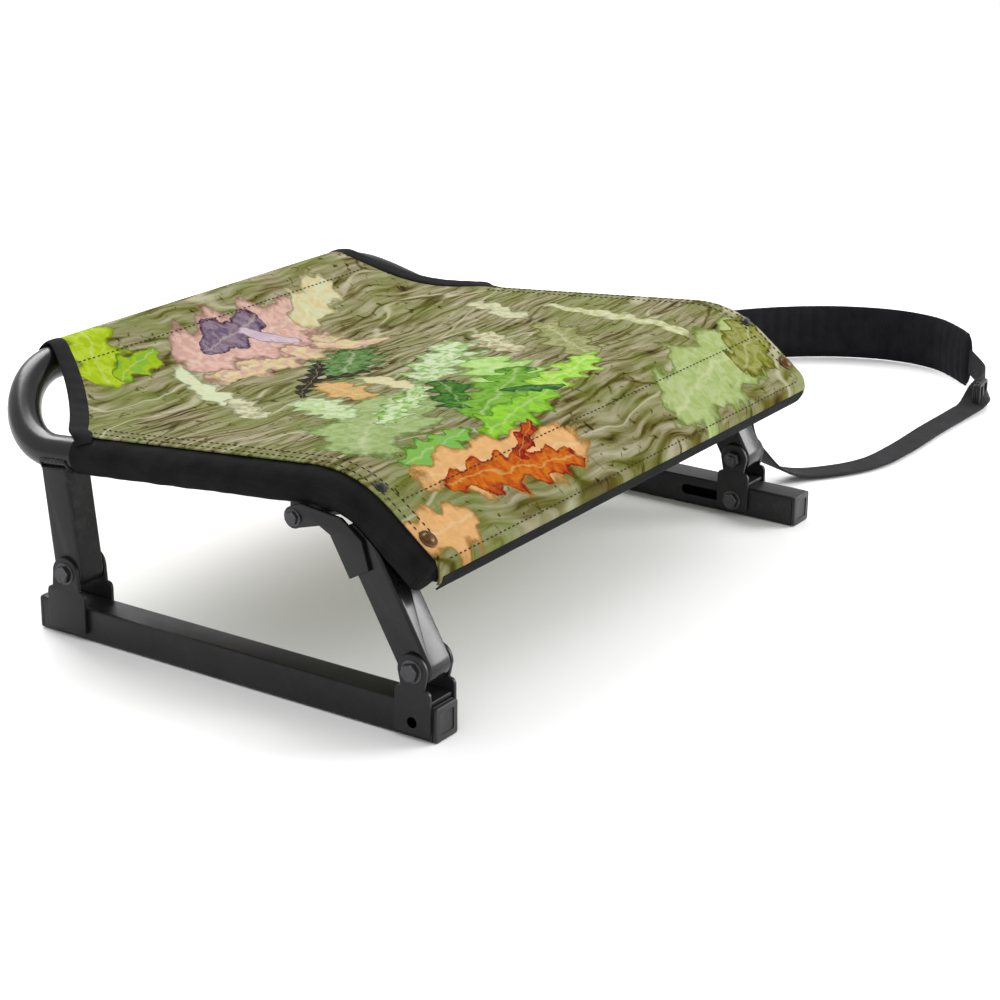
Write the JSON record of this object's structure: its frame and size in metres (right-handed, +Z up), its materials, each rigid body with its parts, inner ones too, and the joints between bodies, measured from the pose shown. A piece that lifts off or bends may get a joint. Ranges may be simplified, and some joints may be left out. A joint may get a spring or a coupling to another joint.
{
  "type": "low ground hunting seat",
  "caption": "Low sling seat on a bent tube frame with skid rails, pivoting front legs that level it, and a padded shoulder strap hung on one side.",
  "frame": {"origin": "on the ground, under the middle of the seat", "axes": "+X to the sitter's left, -Y the way the sitter faces, +Z up"},
  "size_m": [1.0369, 0.4378, 0.19],
  "materials": {
    "gloss_black_steel": "gloss",
    "satin_black_steel": "satin",
    "plated_steel": "satin",
    "black_plastic": "matte",
    "camouflage_cloth": "woven, printed leaves and bark",
    "black_cloth": "woven",
    "webbing": "woven",
    "padding": "soft"
  },
  "bodies": {
    "seat": {"right_side_tube": "gloss_black_steel", "right_side_sleeve": "black_cloth", "right_rear_leg": "satin_black_steel", "right_pivot_lug": "satin_black_steel", "right_rear_sling_screw": "satin_black_steel", "right_front_sling_screw": "satin_black_steel", "left_side_tube": "gloss_black_steel", "left_side_sleeve": "black_cloth", "left_rear_leg": "satin_black_steel", "left_pivot_lug": "satin_black_steel", "left_rear_sling_screw": "satin_black_steel", "left_front_sling_screw": "satin_black_steel", "front_crossbar": "gloss_black_steel", "rear_crossbar": "gloss_black_steel", "sling": "camouflage_cloth", "strap_front_anchor": "satin_black_steel", "strap_rear_anchor": "satin_black_steel", "strap_front_webbing": "webbing", "strap_turn_webbing": "webbing", "strap_rear_webbing": "webbing", "strap_pad": "padding", "strap_buckle": "black_plastic"},
    "right_rail": {"right_rail": "satin_black_steel", "right_rail_front_cap": "black_plastic", "right_rail_rear_cap": "black_plastic", "right_rear_bracket_outer": "satin_black_steel", "right_rear_bracket_inner": "satin_black_steel", "right_rear_pivot_bolt": "plated_steel", "right_rear_pivot_nut": "plated_steel"},
    "right_front_bracket": {"right_front_bracket_outer": "satin_black_steel", "right_front_bracket_inner": "satin_black_steel", "right_front_bracket_bridge": "satin_black_steel", "right_front_pivot_bolt": "plated_steel", "right_front_pivot_nut": "plated_steel", "right_clamp_screw": "plated_steel", "right_clamp_nut": "plated_steel"},
    "right_front_leg": {"right_front_leg": "gloss_black_steel", "right_leg_arm_outer": "gloss_black_steel", "right_leg_arm_inner": "gloss_black_steel", "right_top_pivot_bolt": "plated_steel", "right_top_pivot_nut": "plated_steel"},
    "left_rail": {"left_rail": "satin_black_steel", "left_rail_front_cap": "black_plastic", "left_rail_rear_cap": "black_plastic", "left_rear_bracket_outer": "satin_black_steel", "left_rear_bracket_inner": "satin_black_steel", "left_rear_pivot_bolt": "plated_steel", "left_rear_pivot_nut": "plated_steel"},
    "left_front_bracket": {"left_front_bracket_outer": "satin_black_steel", "left_front_bracket_inner": "satin_black_steel", "left_front_bracket_bridge": "satin_black_steel", "left_front_pivot_bolt": "plated_steel", "left_front_pivot_nut": "plated_steel", "left_clamp_screw": "plated_steel", "left_clamp_nut": "plated_steel"},
    "left_front_leg": {"left_front_leg": "gloss_black_steel", "left_leg_arm_outer": "gloss_black_steel", "left_leg_arm_inner": "gloss_black_steel", "left_top_pivot_bolt": "plated_steel", "left_top_pivot_nut": "plated_steel"}
  },
  "joints": [
    {"name": "right_rail_hinge", "type": "hinge", "parent": "seat", "child": "right_rail", "pos_m": [-0.259, 0.112, 0.05], "axis": [1, 0, 0], "range_deg": [0, 7.61]},
    {"name": "right_bracket_slide", "type": "slide", "parent": "right_rail", "child": "right_front_bracket", "axis": [0, 1, 0], "range_m": [0, 0.046]},
    {"name": "right_leg_hinge", "type": "hinge", "parent": "seat", "child": "right_front_leg", "pos_m": [-0.259, -0.102, 0.1385], "axis": [1, 0, 0], "range_deg": [0, 26.23]},
    {"name": "left_rail_hinge", "type": "hinge", "parent": "seat", "child": "left_rail", "pos_m": [0.259, 0.112, 0.05], "axis": [1, 0, 0], "range_deg": [0, 9.29]},
    {"name": "left_bracket_slide", "type": "slide", "parent": "left_rail", "child": "left_front_bracket", "axis": [0, 1, 0], "range_m": [0, 0.046]},
    {"name": "left_leg_hinge", "type": "hinge", "parent": "seat", "child": "left_front_leg", "pos_m": [0.259, -0.062, 0.1347], "axis": [1, 0, 0], "range_deg": [0, 27.35]}
  ],
  "couplings": [
    {"joint": "right_rail_hinge", "follows": "right_bracket_slide", "rad_per_m": 2.8841},
    {"joint": "right_leg_hinge", "follows": "right_bracket_slide", "rad_per_m": 9.9501},
    {"joint": "left_rail_hinge", "follows": "left_bracket_slide", "rad_per_m": 3.5208},
    {"joint": "left_leg_hinge", "follows": "left_bracket_slide", "rad_per_m": 10.373}
  ]
}
